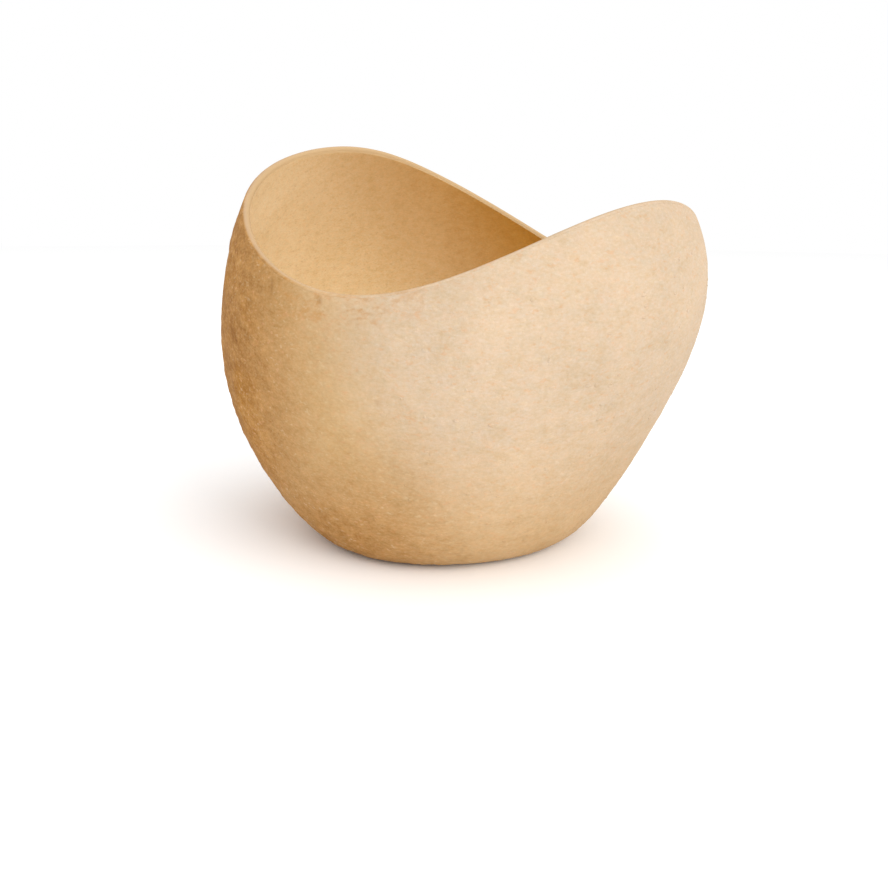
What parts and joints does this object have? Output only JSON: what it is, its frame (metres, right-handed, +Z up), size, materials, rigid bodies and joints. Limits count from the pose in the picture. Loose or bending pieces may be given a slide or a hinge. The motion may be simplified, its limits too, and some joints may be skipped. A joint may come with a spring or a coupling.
{
  "type": "kidney dish",
  "caption": "Deep egg-shaped dish of moulded pulp with a flat foot, a hooded heel, a saddle-shaped rim with a rounded binding, and a smooth lining.",
  "frame": {"origin": "centre of the flat foot, on the face that the dish stands on", "axes": "+Z up out of the mouth, +X towards the tip end, -X towards the hooded heel end, +Y to the far side; the dish is alike on its +Y and -Y sides"},
  "size_m": [0.2499, 0.218, 0.1903],
  "materials": {
    "pulp": "matte, mottled, slightly pitted",
    "base_board": "matte, pressed flat",
    "lining": "smooth, even, low sheen",
    "binding": "smooth, rounded, matte"
  },
  "bodies": {
    "root": {"outer_shell": "pulp", "base_disc": "base_board", "inner_lining": "lining", "rim_binding": "binding"}
  },
  "joints": []
}
